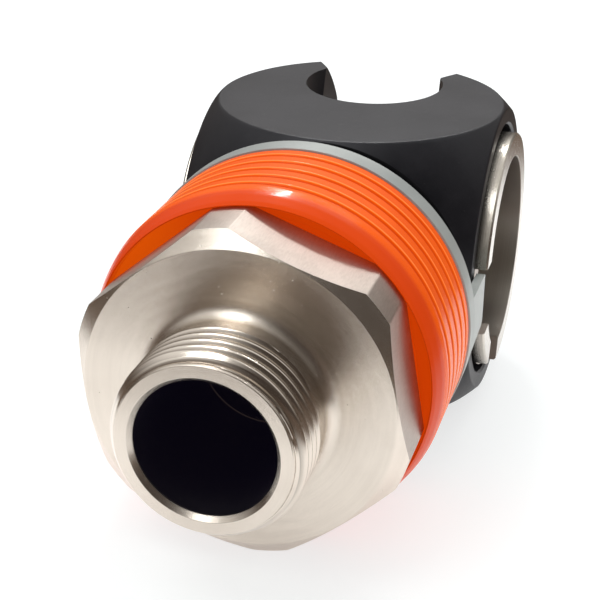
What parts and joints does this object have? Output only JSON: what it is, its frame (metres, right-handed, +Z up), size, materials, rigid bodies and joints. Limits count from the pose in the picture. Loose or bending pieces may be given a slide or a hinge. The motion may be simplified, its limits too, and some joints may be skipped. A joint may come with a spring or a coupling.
{
  "type": "tank swing coupler",
  "caption": "Hose-side swing coupler with a keyhole mouth for a tank's stub, a turning drum, a sliding lock collar with grip, and a swivelling threaded nipple with a hexagon.",
  "frame": {"origin": "where the hose axis crosses the swing axis, in the middle of the drum's flow way", "axes": "-Y out along the hose thread, +X along the swing axis out of the right side opening, +Z up through the mouth's flat"},
  "size_m": [0.0654, 0.1282, 0.0654],
  "materials": {
    "black_shell": "matt hard anodised",
    "stainless": "fine turned",
    "dark_steel": "phosphated",
    "seal_rubber": "matt",
    "white_seat": "satin",
    "spring_steel": "bright",
    "bronze": "satin",
    "grey_collar": "satin",
    "orange_grip": "gloss"
  },
  "bodies": {
    "body": {"shell": "black_shell", "neck_tube": "stainless", "neck_set_screw": "dark_steel", "neck_oring": "seal_rubber", "seat_ring": "white_seat", "seat_oring": "seal_rubber", "seat_washers": "spring_steel", "bush_left": "bronze", "bush_right": "bronze", "circlip_left": "dark_steel", "circlip_right": "dark_steel", "ball_row_front": "spring_steel", "ball_row_rear": "spring_steel", "ball_plugs": "spring_steel", "swivel_oring_front": "seal_rubber", "swivel_oring_rear": "seal_rubber", "wiper_ring": "seal_rubber", "guide_keys": "spring_steel", "drag_ring": "seal_rubber", "stop_ring": "dark_steel"},
    "drum": {"drum": "stainless", "drum_oring_left": "seal_rubber", "drum_oring_right": "seal_rubber", "socket_seal": "seal_rubber"},
    "collar": {"lock_collar": "grey_collar", "grip_sleeve": "orange_grip"},
    "nipple": {"hose_nipple": "stainless"}
  },
  "joints": [
    {"name": "drum_swing", "type": "hinge", "parent": "body", "child": "drum", "pos_m": [0, 0, 0], "axis": [-1, 0, 0], "range_deg": [0, 68]},
    {"name": "collar_slide", "type": "slide", "parent": "body", "child": "collar", "axis": [0, 1, 0], "range_m": [0, 0.005]},
    {"name": "nipple_spin", "type": "hinge", "parent": "body", "child": "nipple", "pos_m": [0, 0, 0], "axis": [0, -1, 0], "continuous": true}
  ]
}
